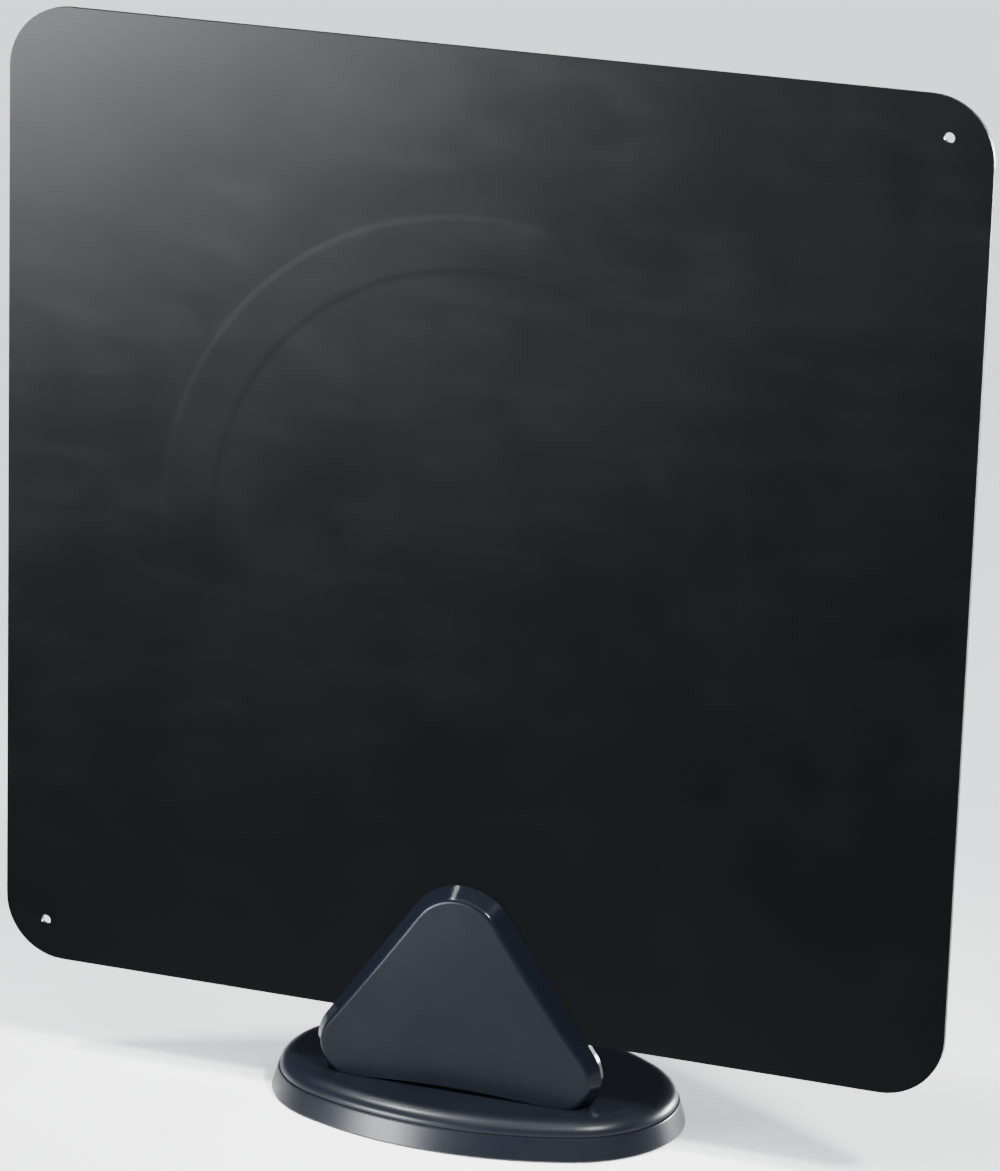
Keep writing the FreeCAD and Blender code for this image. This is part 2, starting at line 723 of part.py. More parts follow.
def board_screws():
    """Two small screws through the board into the rear cover's posts, heads towards the panel."""
    screws = []
    for name, sign in (("left", "-"), ("right", "")):
        across = sign + "dims.board_screw_out"
        up = "dims.board_screw_height"
        shank = level_cylinder("board_screw_%s_shank" % name, "0.85", across, up,
                               "dims.board_front", REAR_BACK + " - 2.2")
        head = level_cylinder("board_screw_%s_head" % name, "1.9", across, up,
                              "dims.board_front - 1.3", "dims.board_front")
        slot = box("board_screw_%s_slot" % name, across + " - 1.4", across + " + 1.4",
                   "dims.board_front - 2", "dims.board_front - 0.8", up + " - 0.25", up + " + 0.25")
        solid = fuse("board_screw_%s_solid" % name, [shank, head])
        screws.append(cut("board_screw_" + name, solid, slot))
    return group("board_screws", screws)


def contact_springs():
    """Two bent strips that press from the board through the rear skin's windows onto the foil's pads."""
    springs = []
    foil_back = "(dims.panel_front + dims.skin_thickness + dims.film_thickness)"
    strip = "0.3"
    for name, sign in (("left", -1), ("right", 1)):
        body = new_body("contact_spring_" + name)
        middle = "%d * (dims.leg_inside + dims.leg_width / 2)" % sign
        sketch = new_sketch(body, "spring_profile_" + name, "YZ_Plane", middle)
        foot = "dims.leg_foot + dims.window_height - 2"
        tip = "dims.leg_foot + 4"
        draw_polygon(sketch, "p", [
            ("dims.board_front", foot),
            ("dims.board_front", foot + " - 4"),
            (foil_back + " + " + strip, tip),
            (foil_back, tip),
            (foil_back, tip + " + 0.6"),
            ("dims.board_front - " + strip, foot + " - 3.9"),
            ("dims.board_front - " + strip, foot),
        ])
        feature = pad(body, "spring_pad_" + name, sketch, "3")
        feature.Midplane = True
        springs.append(body)
    return group("contact_springs", springs)


def balun_core():
    half = "dims.balun_section / 2"
    middle = BOARD_BACK + " + dims.balun_lift"
    front = "%s - dims.balun_depth / 2" % middle
    back = "%s + dims.balun_depth / 2" % middle
    outer = level_cylinder("core_outer", "dims.balun_mean_radius + " + half, "0", "dims.balun_height",
                           front, back)
    inner = level_cylinder("core_inner", "dims.balun_mean_radius - " + half, "0", "dims.balun_height",
                           front, back)
    return cut("balun_core", outer, inner)


def balun_winding():
    """Evenly spaced turns of wire about the ring."""
    centre = FreeCAD.Vector(0, value(BOARD_BACK + " + dims.balun_lift"), dim("balun_height"))
    turns = []
    count = int(dim("turn_count"))
    for index in range(count):
        angle = 360.0 * index / count
        spin = FreeCAD.Rotation(FreeCAD.Vector(0, 1, 0), angle)
        turn = doc.addObject("Part::Torus", "turn_%d" % (index + 1))
        turn.setExpression("Radius1", "dims.turn_radius")
        turn.setExpression("Radius2", "dims.wire_radius")
        out = spin.multVec(FreeCAD.Vector(dim("balun_mean_radius"), 0, 0))
        turn.Placement = FreeCAD.Placement(centre + out, spin)
        turns.append(turn)
    return group("balun_winding", turns)


def coupling_capacitors():
    """Four small ceramic chips on the board's back."""
    chips = []
    places = [("9", "47"), ("-9", "47"), ("9", "52.5"), ("-9", "52.5")]
    for index, (across, up) in enumerate(places, start=1):
        chips.append(box("capacitor_%d" % index, across + " - 1", across + " + 1", BOARD_BACK,
                         BOARD_BACK + " + 1", up + " - 0.6", up + " + 0.6"))
    return group("coupling_capacitors", chips)


# ---------------------------------------------------------------------------------------------------
# Coaxial jack
# ---------------------------------------------------------------------------------------------------

JACK_END = BOARD_BACK + " + dims.jack_reach"
NUT_FRONT = REAR_BACK + " + dims.washer_thickness"


def hexagon_prism(label, front, back):
    body = new_body(label)
    sketch = front_sketch(body, label + "_outline", back)
    draw_hexagon(sketch, "corner", "dims.jack_hex", "dims.jack_height")
    pad(body, label + "_pad", sketch, "(%s) - (%s)" % (back, front))
    return body


def f_jack_body():
    """A barrel with a chamfered mouth on a hexagonal root, bored through for the insulator.

    The barrel's radius is the thread's major radius, so the thread itself isn't cut.  Under the nut the two
    threads mesh, and the surface they share is taken at the pitch radius.
    """
    root = hexagon_prism("jack_root", BOARD_BACK, BOARD_BACK + " + dims.jack_hex_depth")
    length = "dims.jack_reach - dims.jack_hex_depth"
    nut_front = "(%s) - (%s) - dims.jack_hex_depth" % (NUT_FRONT, BOARD_BACK)
    nut_back = nut_front + " + dims.nut_thickness"
    barrel = revolve_profile("jack_barrel", [
        ("0", "0"),
        ("dims.jack_radius", "0"),
        ("dims.jack_radius", nut_front),
        ("dims.jack_pitch_radius", nut_front),
        ("dims.jack_pitch_radius", nut_back),
        ("dims.jack_radius", nut_back),
        ("dims.jack_radius", length + " - dims.jack_chamfer"),
        ("dims.jack_radius - dims.jack_chamfer", length),
        ("0", length),
    ])
    foot = FreeCAD.Vector(0, value(BOARD_BACK + " + dims.jack_hex_depth"), dim("jack_height"))
    barrel.Placement = FreeCAD.Placement(foot, FreeCAD.Rotation(FreeCAD.Vector(1, 0, 0), -90))
    bore = level_cylinder("jack_bore_hole", "dims.jack_bore", "0", "dims.jack_height", BOARD_BACK, "20")
    return cut("f_jack_body", fuse("jack_solid", [root, barrel]), bore)


def f_jack_insulator():
    plug = level_cylinder("insulator_plug", "dims.jack_bore", "0", "dims.jack_height", BOARD_BACK,
                          JACK_END + " - 0.6")
    bore = level_cylinder("insulator_bore", "dims.jack_contact_radius", "0", "dims.jack_height",
                          BOARD_BACK, JACK_END)
    return cut("f_jack_insulator", plug, bore)


def f_jack_contact():
    """A hollow pin: its front tail goes through the board and its back end takes the cable's wire."""
    pin = level_cylinder("contact_pin", "dims.jack_contact_radius", "0", "dims.jack_height",
                         "dims.board_front - 0.8", JACK_END + " - 1.2")
    bore = level_cylinder("contact_bore", "0.55", "0", "dims.jack_height", JACK_END + " - 9", JACK_END)
    return cut("f_jack_contact", pin, bore)


def f_jack_washer():
    disc = level_cylinder("washer_disc", "dims.washer_radius", "0", "dims.jack_height", REAR_BACK, NUT_FRONT)
    hole = level_cylinder("washer_hole", "dims.jack_radius + 0.1", "0", "dims.jack_height", REAR_BACK,
                          NUT_FRONT)
    return cut("f_jack_washer", disc, hole)


def f_jack_nut():
    back = NUT_FRONT + " + dims.nut_thickness"
    prism = hexagon_prism("nut_prism", NUT_FRONT, back)
    hole = level_cylinder("nut_hole", "dims.jack_pitch_radius", "0", "dims.jack_height", NUT_FRONT, back)
    return cut("f_jack_nut", prism, hole)


# ---------------------------------------------------------------------------------------------------
# Base
# ---------------------------------------------------------------------------------------------------

BALLAST_TOP = FLANGE_BOTTOM
BASE_SCREWS = [
    ("left", "-dims.side_screw_out", "dims.widest_line"),
    ("right", "dims.side_screw_out", "dims.widest_line"),
    ("back_left", "-dims.back_screw_out", "dims.back_screw_back"),
    ("back_right", "dims.back_screw_out", "dims.back_screw_back"),
]
FLANGE_SCREWS = [
    ("left", "-dims.flange_screw_out", "dims.tongue_middle"),
    ("right", "dims.flange_screw_out", "dims.tongue_middle"),
]


def base_arcs():
    """The oval's four arcs as (centre, radius, start angle, end angle), anticlockwise from the right."""
    out = dim("base_half_width") - dim("side_radius")
    side = dim("side_radius")
    widest = dim("widest_line")
    ends = {}
    for name, reach in (("back", dim("base_half_depth") - widest), ("front", dim("base_half_depth") + widest)):
        radius = (out ** 2 + reach ** 2 - side ** 2) / (2 * (reach - side))
        drop = radius - reach
        ends[name] = (radius, drop, math.atan2(drop, out))
    back_radius, back_drop, back_angle = ends["back"]
    front_radius, front_drop, front_angle = ends["front"]
    return [
        (FreeCAD.Vector(out, widest, 0), side, -front_angle, back_angle),
        (FreeCAD.Vector(0, widest - back_drop, 0), back_radius, back_angle, math.pi - back_angle),
        (FreeCAD.Vector(-out, widest, 0), side, math.pi - back_angle, math.pi + front_angle),
        (FreeCAD.Vector(0, widest + front_drop, 0), front_radius, math.pi + front_angle,
         2 * math.pi - front_angle),
    ]


def base_plate(inset, bottom, top):
    """The oval, drawn in by `inset`, between two levels."""
    edges = []
    for centre, radius, start, end in base_arcs():
        circle = Part.Circle(centre, FreeCAD.Vector(0, 0, 1), radius - inset)
        edges.append(Part.ArcOfCircle(circle, start, end).toShape())
    face = Part.Face(Part.Wire(edges))
    face.translate(FreeCAD.Vector(0, 0, bottom))
    return face.extrude(FreeCAD.Vector(0, 0, top - bottom))


def base_solid(profile):
    """A solid oval whose rim follows `profile`, carried round the four arcs.

    The profile is a list of edges in a plane of (inset, height), from the outline inwards to the rim's
    inner side, and it closes on itself along the rim's inner side.  The middle is filled as a plate.
    """
    rim_width = dim("rim_width")
    sectors = []
    bottom = min(edge.BoundBox.ZMin for edge in profile)
    top = max(edge.BoundBox.ZMax for edge in profile)
    for centre, radius, start, end in base_arcs():
        section = Part.Face(Part.Wire(Part.__sortEdges__([edge.copy() for edge in profile])))
        section.rotate(FreeCAD.Vector(), FreeCAD.Vector(0, 0, 1), 180)
        section.translate(FreeCAD.Vector(radius, 0, 0))
        section.rotate(FreeCAD.Vector(), FreeCAD.Vector(0, 0, 1), math.degrees(start))
        section.translate(centre)
        sectors.append(section.revolve(centre, FreeCAD.Vector(0, 0, 1), math.degrees(end - start)))
    middle = base_plate(rim_width, bottom, top)
    return middle.fuse(sectors).removeSplitter()


def line(start, end):
    """A straight edge of a rim profile between two (inset, height) points."""
    return Part.makeLine(FreeCAD.Vector(start[0], 0, start[1]), FreeCAD.Vector(end[0], 0, end[1]))


def dome_profile(shrink):
    """The cover's rim: a quarter of an ellipse from the cover's lower edge to its flat top."""
    step = dim("cover_step") + shrink
    bottom = dim("cover_bottom")
    top = dim("cover_top") - shrink
    reach = dim("dome_reach") - shrink
    inner = dim("rim_width")
    centre = FreeCAD.Vector(step + reach, 0, bottom)
    outward = FreeCAD.Vector(step, 0, bottom)
    upward = FreeCAD.Vector(step + reach, 0, top)
    ellipse = Part.Ellipse(outward, upward, centre)
    start = ellipse.parameter(outward)
    finish = ellipse.parameter(upward)
    low, high = sorted((start, finish))
    if high - low > math.pi:
        low, high = high, low + 2 * math.pi
    quarter = Part.ArcOfEllipse(ellipse, low, high).toShape()
    return [quarter, line((step + reach, top), (inner, top)), line((inner, top), (inner, bottom)),
            line((inner, bottom), (step, bottom))]


def tray_profile(shrink):
    """The tray's rim leans in a little and has a softened upper edge."""
    bottom = dim("tray_bottom")
    top = dim("tray_top")
    lean = dim("tray_lean") + shrink
    soft = 0.5
    inner = dim("rim_width")
    corner = (lean + soft * 0.3, top - soft * 0.3)
    return [line((shrink, bottom), (lean, top - soft)), line((lean, top - soft), corner),
            line(corner, (lean + soft, top)), line((lean + soft, top), (inner, top)),
            line((inner, top), (inner, bottom)), line((inner, bottom), (shrink, bottom))]


def countersunk_hole(across, along):
    """A clearance hole in the tray's floor with a cone for the screw's head, from below."""
    bottom = dim("tray_bottom")
    radius = dim("screw_radius") + 0.1
    cone = Part.makeCone(dim("screw_head_radius") + 0.1, radius, dim("screw_head_height") - 0.4,
                         FreeCAD.Vector(across, along, bottom))
    hole = Part.makeCylinder(radius, 20, FreeCAD.Vector(across, along, bottom - 5))
    return cone.fuse(hole)


def base_top_cover():
    """A domed shell with posts for the screws and a slot for the tongue."""
    thickness = dim("cover_thickness")
    shell = base_solid(dome_profile(0)).cut(base_solid(dome_profile(thickness)))
    posts = []
    pilots = []
    roof = dim("cover_top") - 0.6 * thickness
    for _, across, along in BASE_SCREWS:
        foot = FreeCAD.Vector(value(across), value(along), dim("tray_bottom") + dim("tray_wall"))
        posts.append(Part.makeCylinder(dim("boss_radius"), roof - foot.z, foot))
        pilots.append(Part.makeCylinder(dim("pilot_radius"), 5.5, foot))
    slot = Part.makeBox(dim("tongue_width") + 0.2, dim("tongue_thickness") + 0.2, 10,
                        FreeCAD.Vector(-dim("tongue_width") / 2 - 0.1,
                                       value("dims.tongue_middle - dims.tongue_thickness / 2 - 0.1"), 5))
    cover = shell.fuse(posts).cut(pilots + [slot]).removeSplitter()
    return fixed_shape("base_top_cover", cover)


def base_tray():
    """The lower shell: a floor, a low wall and a lip that stands up inside the cover."""
    wall = dim("tray_wall")
    floor_top = dim("tray_bottom") + wall
    top = dim("tray_top")
    inside = base_plate(dim("tray_lean") + wall, floor_top, top + 1)
    tray = base_solid(tray_profile(0)).cut(inside)
    lip_inset = dim("cover_step") + dim("cover_thickness") + dim("lip_gap")
    lip = base_plate(lip_inset, floor_top, top + dim("lip_height"))
    lip = lip.cut(base_plate(lip_inset + 1.2, floor_top, top + dim("lip_height") + 1))
    ledge = base_plate(dim("tray_lean") + wall - 0.5, floor_top, top - 0.2)
    ledge = ledge.cut(base_plate(lip_inset + 0.6, floor_top - 1, top + 1))
    holes = [countersunk_hole(value(across), value(along)) for _, across, along in BASE_SCREWS + FLANGE_SCREWS]
    recesses = [Part.makeCylinder(dim("foot_radius"), dim("foot_recess"), spot) for spot in foot_places()]
    for recess in recesses:
        recess.translate(FreeCAD.Vector(0, 0, dim("tray_bottom")))
    return fixed_shape("base_tray", tray.fuse([lip, ledge]).cut(holes + recesses).removeSplitter())


def foot_places():
    return [FreeCAD.Vector(side * dim("foot_out"), fore * dim("foot_fore"), 0)
            for side in (-1, 1) for fore in (-1, 1)]


def rubber_feet():
    """Four round feet with a softened lower edge, set in the tray's recesses."""
    feet = []
    radius = dim("foot_radius") - 0.1
    for index, spot in enumerate(foot_places(), start=1):
        foot = doc.addObject("Part::Cylinder", "foot_%d" % index)
        foot.setExpression("Radius", "dims.foot_radius - 0.1")
        foot.setExpression("Height", "dims.tray_bottom + dims.foot_recess")
        foot.Placement.Base = spot
        doc.recompute()
        soft = doc.addObject("Part::Fillet", "soft_foot_%d" % index)
        soft.Base = foot
        soft.Edges = [(i, 0.4, 0.4) for i, edge in enumerate(foot.Shape.Edges, start=1)
                      if edge.BoundBox.ZMax < 0.01 and edge.Length > 6 * radius]
        feet.append(soft)
    return group("rubber_feet", feet)


def ballast_plate():
    body = new_body("ballast_plate")
    outline = new_sketch(body, "ballast_outline", "XY_Plane", "dims.tray_bottom + dims.tray_wall")
    draw_rectangle(outline, "side", "-dims.ballast_width / 2", "dims.ballast_width / 2",
                   "-dims.ballast_depth / 2", "dims.ballast_depth / 2")
    pad(body, "ballast_pad", outline, "dims.ballast_thickness")
    corners = edges_along(body.Shape, FreeCAD.Vector(0, 0, 1))
    fillet_body(body, "ballast_corners", corners, "dims.ballast_corner")
    holes = new_sketch(body, "ballast_holes", "XY_Plane", "dims.tray_bottom + dims.tray_wall")
    for name, across, along in FLANGE_SCREWS:
        draw_circle(holes, name, "dims.screw_radius + 0.2", across, along)
    pocket(body, "ballast_bores", holes, "dims.ballast_thickness", reverse=True)
    return body


def countersunk_screw(name, across, along, tip):
    """An upright screw whose cone head is flush with the tray's underside, with a cross recess."""
    head_top = "dims.screw_head_height - 0.4"
    bottom = "dims.tray_bottom"
    body = revolve_profile(name, [
        ("0", "0"),
        ("dims.screw_head_radius", "0"),
        ("dims.pilot_radius", head_top),
        ("dims.pilot_radius", "%s - %s" % (tip, bottom)),
        ("0", "%s - %s" % (tip, bottom)),
    ])
    body.Placement.Base = FreeCAD.Vector(value(across), value(along), value(bottom))
    doc.recompute()
    slot = box(name + "_slot", across + " - 0.3", across + " + 0.3", along + " - 1.4", along + " + 1.4",
               bottom + " - 1", bottom + " + 0.6")
    cross = box(name + "_cross", across + " - 1.4", across + " + 1.4", along + " - 0.3", along + " + 0.3",
                bottom + " - 1", bottom + " + 0.6")
    return cut(name + "_crossed", body, fuse(name + "_recess", [slot, cross]))


def screw_group(label, places, tip):
    return group(label, [countersunk_screw("%s_%s" % (label, name), across, along, tip)
                         for name, across, along in places])


# ---------------------------------------------------------------------------------------------------
# The whole
# ---------------------------------------------------------------------------------------------------

def build():
    """Every node, in the order of assembly."""
    return [
        base_tray(),
        ballast_plate(),
        base_top_cover(),
        dock_tongue(),
        screw_group("tongue_screws", FLANGE_SCREWS, "(%s) + 3" % FLANGE_BOTTOM),
        screw_group("base_screws", BASE_SCREWS, "7.6"),
        rubber_feet(),
        panel_front_skin(),
        panel_spacer_film(),
        loop_foil("loop_element", "0", "dims.film_thickness"),
        panel_rear_skin(),
        housing_front_cover(),
        housing_rear_cover(),
        cover_screws(),
        dock_sleeve(),
        circuit_board(),
        board_screws(),
        contact_springs(),
        balun_core(),
        balun_winding(),
        coupling_capacitors(),
        f_jack_body(),
        f_jack_insulator(),
        f_jack_contact(),
        f_jack_washer(),
        f_jack_nut(),
    ]


def check(nodes):
    """Stop on any failed object or any empty or invalid node."""
    for item in doc.Objects:
        if "Invalid" in item.State or "Error" in item.State:
            raise ValueError("%s failed: %s" % (item.Name, item.State))
    for node in nodes:
        if node.Shape.isNull() or not node.Shape.isValid() or not node.Shape.Solids:
            raise ValueError("%s has no valid solid" % node.Label)


def export(nodes):
    os.makedirs("parts", exist_ok=True)
    for node in nodes:
        node.Shape.exportStep(os.path.join("parts", node.Label + ".step"))
        size = node.Shape.BoundBox
        print("%-22s solids %2d  x %7.2f %7.2f  y %7.2f %7.2f  z %7.2f %7.2f  volume %9.1f" % (
            node.Label, len(node.Shape.Solids), size.XMin, size.XMax, size.YMin, size.YMax,
            size.ZMin, size.ZMax, node.Shape.Volume))


nodes = build()
doc.recompute()
check(nodes)
export(nodes)
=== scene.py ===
import json
import math
import bpy
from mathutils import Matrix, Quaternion, Vector


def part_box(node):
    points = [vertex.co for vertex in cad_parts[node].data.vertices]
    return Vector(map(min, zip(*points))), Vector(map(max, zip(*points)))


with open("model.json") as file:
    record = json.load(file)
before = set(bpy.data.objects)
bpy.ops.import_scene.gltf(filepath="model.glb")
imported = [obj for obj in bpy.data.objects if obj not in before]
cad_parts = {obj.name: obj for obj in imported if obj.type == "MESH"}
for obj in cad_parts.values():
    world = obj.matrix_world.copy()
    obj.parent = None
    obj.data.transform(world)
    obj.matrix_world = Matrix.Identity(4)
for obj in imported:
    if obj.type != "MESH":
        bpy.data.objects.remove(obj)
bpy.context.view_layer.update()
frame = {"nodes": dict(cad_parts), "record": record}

MM = 0.001
COOL_WHITE = (0.92, 0.95, 1.0)
FOIL_WIDTH = 16 * MM


# --------------------------------------------------------------------------------------------------
# Camera
# --------------------------------------------------------------------------------------------------

CAMERA_AZIMUTH = 19.806
CAMERA_ELEVATION = 16.653
CAMERA_ROLL = 1.779
CAMERA_DISTANCE = 1.5743
CAMERA_AIM = Vector((0.00868, -0.020, 0.17236))
CAMERA_LENS = 163.754
CAMERA_REACH = 100


def make_camera():
    azimuth = math.radians(CAMERA_AZIMUTH)
    elevation = math.radians(CAMERA_ELEVATION)
    back = Vector((math.sin(azimuth) * math.cos(elevation), -math.cos(azimuth) * math.cos(elevation),
                   math.sin(elevation)))
    data = bpy.data.cameras.new("camera")
    data.lens = CAMERA_LENS
    data.clip_end = CAMERA_REACH
    camera = bpy.data.objects.new("camera", data)
    bpy.context.scene.collection.objects.link(camera)
    camera.location = CAMERA_AIM + back * CAMERA_DISTANCE
    camera.rotation_mode = "QUATERNION"
    level = (-back).to_track_quat("-Z", "Y")
    camera.rotation_quaternion = level @ Quaternion((0, 0, 1), math.radians(CAMERA_ROLL))
    bpy.context.scene.camera = camera


make_camera()


# --------------------------------------------------------------------------------------------------
# Materials
# --------------------------------------------------------------------------------------------------

class Shader:
    """A material's node tree with short calls for what every finish here uses."""

    def __init__(self, name, color, roughness, metallic=0.0, specular=0.5):
        self.material = bpy.data.materials.new(name)
        self.material.use_nodes = True
        self.nodes = self.material.node_tree.nodes
        self.links = self.material.node_tree.links
        self.principled = self.nodes["Principled BSDF"]
        self.principled.inputs["Base Color"].default_value = (*color, 1)
        self.principled.inputs["Roughness"].default_value = roughness
        self.principled.inputs["Metallic"].default_value = metallic
        self.principled.inputs["Specular IOR Level"].default_value = specular
        self.place = self.nodes.new("ShaderNodeTexCoord").outputs["Object"]
        self.height = None

    def node(self, kind, **settings):
        made = self.nodes.new(kind)
        for key, item in settings.items():
            setattr(made, key, item)
        return made

    def noise(self, size_mm, detail=3.0, stretch=(1, 1, 1)):
        """Noise whose features are about `size_mm` across, drawn out along an axis by `stretch`."""
        mapping = self.node("ShaderNodeMapping")
        mapping.inputs["Scale"].default_value = [1 / s for s in stretch]
        self.links.new(self.place, mapping.inputs["Vector"])
        noise = self.node("ShaderNodeTexNoise")
        noise.inputs["Scale"].default_value = 1 / (size_mm * MM)
        noise.inputs["Detail"].default_value = detail
        self.links.new(mapping.outputs["Vector"], noise.inputs["Vector"])
        return noise.outputs["Fac"]

    def ramp(self, source, low, high, out_low=0.0, out_high=1.0):
        """Source between `low` and `high` becomes a number between `out_low` and `out_high`."""
        ramp = self.node("ShaderNodeMapRange", interpolation_type="SMOOTHSTEP")
        for key, item in (("From Min", low), ("From Max", high), ("To Min", out_low), ("To Max", out_high)):
            ramp.inputs[key].default_value = item
        self.links.new(source, ramp.inputs["Value"])
        return ramp.outputs["Result"]

    def math(self, operation, first, second=None, clamp=False):
        made = self.node("ShaderNodeMath", operation=operation, use_clamp=clamp)
        for socket, item in zip(made.inputs, (first, second)):
            if item is None:
                continue
            if isinstance(item, (int, float)):
                socket.default_value = item
            else:
                self.links.new(item, socket)
        return made.outputs[0]

    def mix_color(self, factor, first, second):
        mix = self.node("ShaderNodeMix", data_type="RGBA")
        self.links.new(factor, mix.inputs["Factor"])
        for socket, item in ((mix.inputs["A"], first), (mix.inputs["B"], second)):
            if isinstance(item, tuple):
                socket.default_value = (*item, 1)
            else:
                self.links.new(item, socket)
        return mix.outputs["Result"]

    def mix_number(self, factor, first, second):
        mix = self.node("ShaderNodeMix", data_type="FLOAT")
        self.links.new(factor, mix.inputs["Factor"])
        for socket, item in ((mix.inputs[2], first), (mix.inputs[3], second)):
            if isinstance(item, (int, float)):
                socket.default_value = item
            else:
                self.links.new(item, socket)
        return mix.outputs[0]

    def color(self, source):
        self.links.new(source, self.principled.inputs["Base Color"])

    def roughness(self, source):
        self.links.new(source, self.principled.inputs["Roughness"])

    def bump(self, source, depth_mm, strength=1.0):
        """Adds a relief `depth_mm` deep on top of the reliefs added before it."""
        bump = self.node("ShaderNodeBump")
        bump.inputs["Strength"].default_value = strength
        bump.inputs["Distance"].default_value = depth_mm * MM
        self.links.new(source, bump.inputs["Height"])
        if self.height is not None:
            self.links.new(self.height, bump.inputs["Normal"])
        self.height = bump.outputs["Normal"]
        self.links.new(self.height, self.principled.inputs["Normal"])

    def axis(self, name):
        split = self.node("ShaderNodeSeparateXYZ")
        self.links.new(self.place, split.inputs[0])
        return split.outputs[name]

    def normal(self, name):
        split = self.node("ShaderNodeSeparateXYZ")
        self.links.new(self.place.node.outputs["Normal"], split.inputs[0])
        return split.outputs[name]


def moulded_plastic(name, color, roughness, grain_mm=0.35, grain_depth=0.012, tint=1.06, specular=0.5,
                    dust=0.12, flank_roughness=None):
    """Injection-moulded plastic: fine grain, slow gloss variation, faint scuffs, and dust on what faces up.

    With `flank_roughness`, whatever doesn't face the front squarely is polished to that roughness.
    """
    finish = Shader(name, color, roughness, specular=specular)
    patches = finish.noise(30, 3)
    cloud = finish.ramp(patches, 0.3, 0.7)
    darker = tuple(c / tint for c in color)
    lighter = tuple(c * tint for c in color)
    tone = finish.mix_color(cloud, darker, lighter)
    specks = finish.ramp(finish.noise(0.5, 2), 0.66, 0.8)
    upward = finish.ramp(finish.normal("Z"), 0.35, 0.95)
    dusty = finish.math("MULTIPLY", finish.math("MULTIPLY", specks, upward), dust)
    finish.color(finish.mix_color(dusty, tone, (0.11, 0.11, 0.105)))
    scuffs = finish.ramp(finish.noise(1.2, 5, stretch=(9, 1, 2)), 0.6, 0.78)
    satin = roughness
    if flank_roughness is not None:
        facing = finish.ramp(finish.math("MULTIPLY", finish.normal("Y"), -1), 0.86, 0.97)
        satin = finish.mix_number(facing, flank_roughness, roughness)
    gloss = finish.math("MULTIPLY", finish.ramp(patches, 0.3, 0.7, 0.93, 1.08), satin)
    gloss = finish.math("ADD", gloss, finish.math("MULTIPLY", scuffs, 0.03))
    finish.roughness(finish.math("ADD", gloss, finish.math("MULTIPLY", dusty, 0.2), clamp=True))
    finish.bump(finish.noise(grain_mm, 3), grain_depth, 0.6)
    return finish.material


def panel_plastic():
    """Satin black sheet.  The foil loop inside stands up through the skin by a few hundredths of a mm."""
    finish = Shader("panel_plastic", (0.0006, 0.00065, 0.0009), 0.25, specular=0.03)
    low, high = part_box("panel_front_skin")
    middle = (low.z + high.z) / 2
    across = finish.math("POWER", finish.axis("X"), 2)
    up = finish.math("POWER", finish.math("SUBTRACT", finish.axis("Z"), middle), 2)
    radius = finish.math("SQRT", finish.math("ADD", across, up))
    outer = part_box("loop_element")[1].x
    inner = outer - FOIL_WIDTH
    edge = 1.4 * MM
    ring = finish.math("MULTIPLY", finish.ramp(radius, inner - edge, inner + edge),
                       finish.ramp(radius, outer - edge, outer + edge, 1.0, 0.0))
    patches = finish.noise(40, 3)
    finish.color(finish.mix_color(finish.ramp(patches, 0.3, 0.7), (0.00055, 0.0006, 0.0008),
                                  (0.0007, 0.00075, 0.0010)))
    smears = finish.ramp(finish.noise(9, 5, stretch=(3, 1, 1)), 0.45, 0.75)
    gloss = finish.ramp(patches, 0.3, 0.7, 0.222, 0.248)
    finish.roughness(finish.math("ADD", gloss, finish.math("MULTIPLY", smears, 0.022)))
    finish.bump(ring, 0.02, 1.0)
    finish.bump(finish.noise(120, 1), 0.12, 1.0)
    finish.bump(finish.noise(0.28, 2), 0.006, 0.7)
    return finish.material


def brushed_metal(name, color, roughness, size_mm=0.4, stretch=(6, 1, 6), tarnish=(0.5, 0.45, 0.4)):
    finish = Shader(name, color, roughness, metallic=1.0)
    stains = finish.ramp(finish.noise(3, 5), 0.5, 0.75, 0.0, 0.6)
    finish.color(finish.mix_color(stains, color, tuple(c * t for c, t in zip(color, tarnish))))
    lines = finish.noise(size_mm, 4, stretch=stretch)
    finish.roughness(finish.ramp(lines, 0.3, 0.7, roughness * 0.75, roughness * 1.3))
    finish.bump(lines, 0.01, 0.5)
    return finish.material


def board_laminate():
    """Green solder mask with copper tracks showing as paler raised lines."""
    finish = Shader("board_laminate", (0.01, 0.09, 0.03), 0.35)
    wave = finish.node("ShaderNodeTexWave", wave_type="BANDS", bands_direction="X")
    wave.inputs["Scale"].default_value = 120
    wave.inputs["Distortion"].default_value = 6
    finish.links.new(finish.place, wave.inputs["Vector"])
    tracks = finish.ramp(wave.outputs["Fac"], 0.55, 0.6)
    finish.color(finish.mix_color(tracks, (0.008, 0.075, 0.025), (0.02, 0.16, 0.05)))
    finish.roughness(finish.ramp(finish.noise(2, 4), 0.3, 0.7, 0.28, 0.42))
    finish.bump(tracks, 0.035)
    return finish.material


def rubber(name, color):
    finish = Shader(name, color, 0.85, specular=0.3)
    dust = finish.ramp(finish.noise(0.8, 5), 0.5, 0.8, 0.0, 0.5)
    finish.color(finish.mix_color(dust, color, (0.09, 0.085, 0.08)))
    finish.roughness(finish.ramp(finish.noise(3, 4), 0.3, 0.7, 0.78, 0.92))
    finish.bump(finish.noise(0.4, 3), 0.03)
    return finish.material


